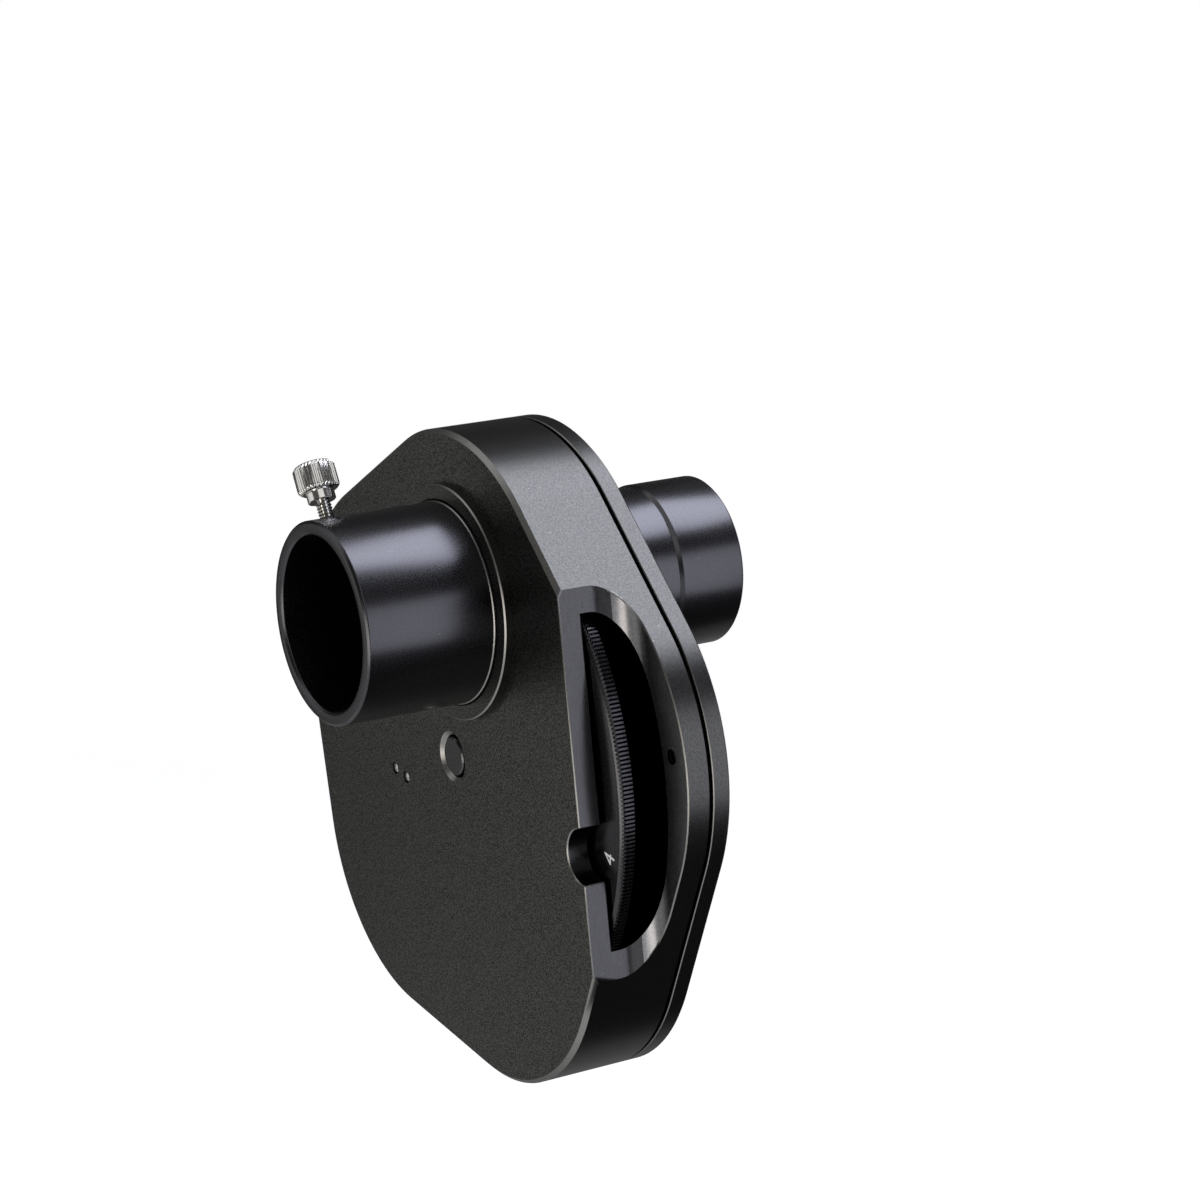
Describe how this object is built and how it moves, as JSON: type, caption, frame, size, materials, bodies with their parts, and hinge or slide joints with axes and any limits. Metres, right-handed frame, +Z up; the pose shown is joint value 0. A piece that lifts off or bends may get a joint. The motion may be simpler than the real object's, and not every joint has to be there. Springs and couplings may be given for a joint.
{
  "type": "manual optical filter wheel",
  "caption": "Manual filter wheel: threaded seats on a knurled carousel with detents, in a rounded five-sided body with an eyepiece holder and a nosepiece.",
  "frame": {"origin": "centre of the light path at the nosepiece's shoulder, where a focuser holds the part", "axes": "Y runs along the light path from the eyepiece side to the focuser side, Z is up, and X is to the right as seen from the eyepiece"},
  "size_m": [0.1185, 0.0795, 0.1208],
  "materials": {
    "blasted_black": "blasted black anodised",
    "satin_black": "satin black anodised",
    "machined_black": "machined black anodised",
    "nickel": "bright nickel plate",
    "steel": "plain steel",
    "spring_steel": "rolled",
    "black_steel": "black oxide",
    "brass": "turned",
    "nylon": "natural"
  },
  "bodies": {
    "housing": {"front_housing": "blasted_black", "rear_cover": "blasted_black", "cover_screw_1": "black_steel", "cover_screw_2": "black_steel", "cover_screw_3": "black_steel", "cover_screw_4": "black_steel", "cover_screw_5": "black_steel", "wheel_axle": "satin_black", "front_thrust_washer": "nylon", "rear_thrust_washer": "nylon", "axle_clip": "spring_steel", "detent_leaf": "spring_steel", "detent_screw_1": "steel", "detent_screw_2": "steel", "eyepiece_holder": "satin_black", "nosepiece": "satin_black"},
    "carousel": {"filter_carousel": "machined_black", "hub_bushing": "brass"},
    "clamp_screw": {"thumbscrew": "nickel"}
  },
  "joints": [
    {"name": "carousel_turn", "type": "hinge", "parent": "housing", "child": "carousel", "pos_m": [-0.00942, -0.01765, -0.02901], "axis": [0, 1, 0], "continuous": true, "deforming": ["detent_leaf"]},
    {"name": "thumbscrew_travel", "type": "slide", "parent": "housing", "child": "clamp_screw", "axis": [-0.309, 0, 0.9511], "range_m": [-0.0032, 0.0014]}
  ]
}
